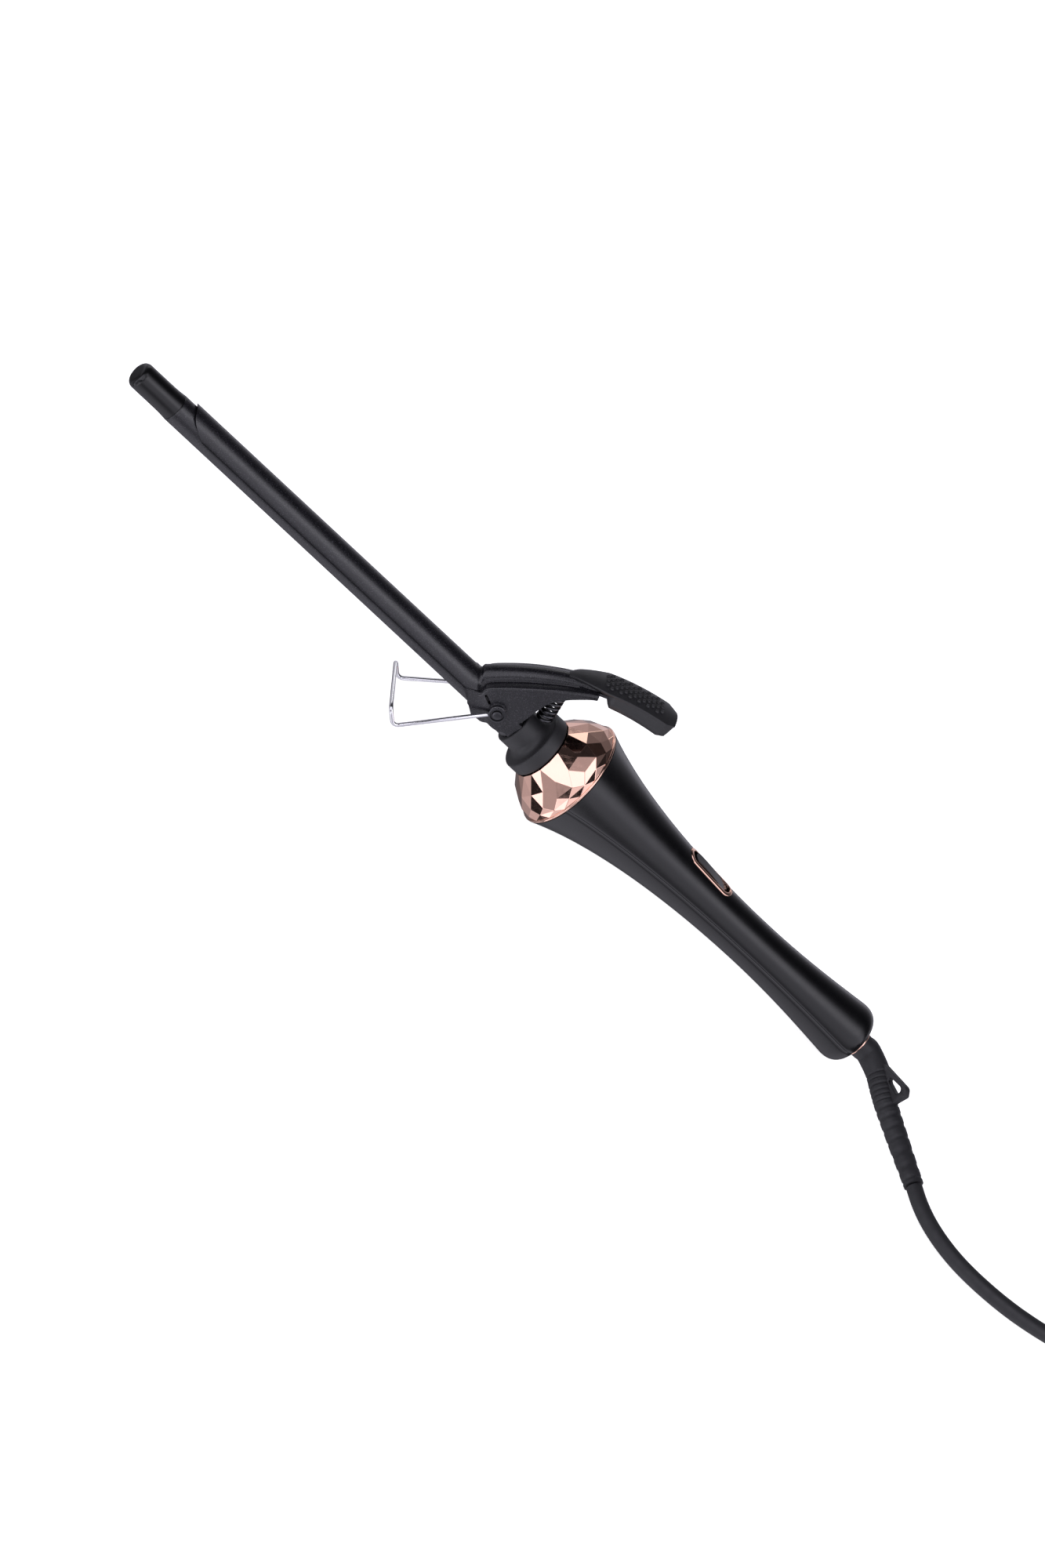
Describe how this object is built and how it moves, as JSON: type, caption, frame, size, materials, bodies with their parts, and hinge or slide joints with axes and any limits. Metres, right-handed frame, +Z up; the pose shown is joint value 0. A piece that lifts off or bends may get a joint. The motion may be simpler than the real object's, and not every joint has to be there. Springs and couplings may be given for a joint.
{
  "type": "curling iron",
  "caption": "Slim curling iron with a sprung clamp, thumb lever, wire rest, flared handle with a rocker switch, and a swivelling mains lead coiled beside it.",
  "frame": {"origin": "middle of the iron's length and width on the surface that it stands on, resting on its two wire feet and the rear of its handle; the lead, its coil and plug aren't counted", "axes": "+X along the iron from the tip to the lead, +Z up, on the side of the lever and the switch, +Y away from the side that the lead bends to"},
  "size_m": [0.542, 0.1311, 0.0613],
  "materials": {
    "speckled_coating": "speckled satin",
    "matte_black": "matte",
    "gloss_black": "satin gloss",
    "rose_metal": "rose gold plating",
    "steel": "zinc plated",
    "spring_steel": "black oxide",
    "bright_wire": "bright",
    "aluminium": "drawn",
    "ceramic": "fired",
    "board_green": "solder mask",
    "lead_insulation": "sleeved",
    "brass": "plain",
    "cord_rubber": "matte",
    "tie_fabric": "woven"
  },
  "bodies": {
    "iron": {"barrel_tube": "speckled_coating", "tip_cap": "gloss_black", "heater_element": "ceramic", "heat_spreader": "aluminium", "thermal_fuse": "ceramic", "hinge_bracket": "speckled_coating", "pivot_rivets": "speckled_coating", "neck_collar": "matte_black", "faceted_dome": "rose_metal", "rim_ring": "rose_metal", "handle_upper_shell": "gloss_black", "handle_lower_shell": "gloss_black", "shell_screws": "steel", "switch_bezel": "rose_metal", "switch_body": "matte_black", "circuit_board": "board_green", "board_components": "matte_black", "heater_leads": "lead_insulation", "mains_leads": "lead_insulation", "clamp_spring": "spring_steel", "swivel_socket": "matte_black", "end_ring": "rose_metal", "cord_lead": "cord_rubber", "cord_coil": "cord_rubber", "cord_tie": "tie_fabric", "cord_tail": "cord_rubber", "plug_body": "cord_rubber", "plug_pins": "brass"},
    "clamp": {"clamp_lever": "speckled_coating", "thumb_pad": "matte_black", "pad_screws": "steel"},
    "rest": {"stand_wire": "bright_wire"},
    "rocker": {"switch_rocker": "gloss_black"},
    "swivel": {"cord_boot": "cord_rubber", "swivel_clip": "brass"}
  },
  "joints": [
    {"name": "clamp_hinge", "type": "hinge", "parent": "iron", "child": "clamp", "pos_m": [-0.00278, 0, 0.02538], "axis": [0, 1, 0], "range_deg": [0, 14], "stiffness_Nm_per_rad": 0.25, "springref_deg": -17.19, "deforming": ["clamp_spring"]},
    {"name": "rest_fold", "type": "hinge", "parent": "iron", "child": "rest", "pos_m": [-0.00278, 0, 0.02538], "axis": [0, 1, 0], "range_deg": [0, 25]},
    {"name": "switch_rock", "type": "hinge", "parent": "iron", "child": "rocker", "pos_m": [0.09132, 0, 0.02049], "axis": [0, -1, 0], "range_deg": [0, 8]},
    {"name": "lead_swivel", "type": "hinge", "parent": "iron", "child": "swivel", "pos_m": [0.16228, 0, 0.0106], "axis": [0.9972, 0, -0.0741], "continuous": true}
  ]
}
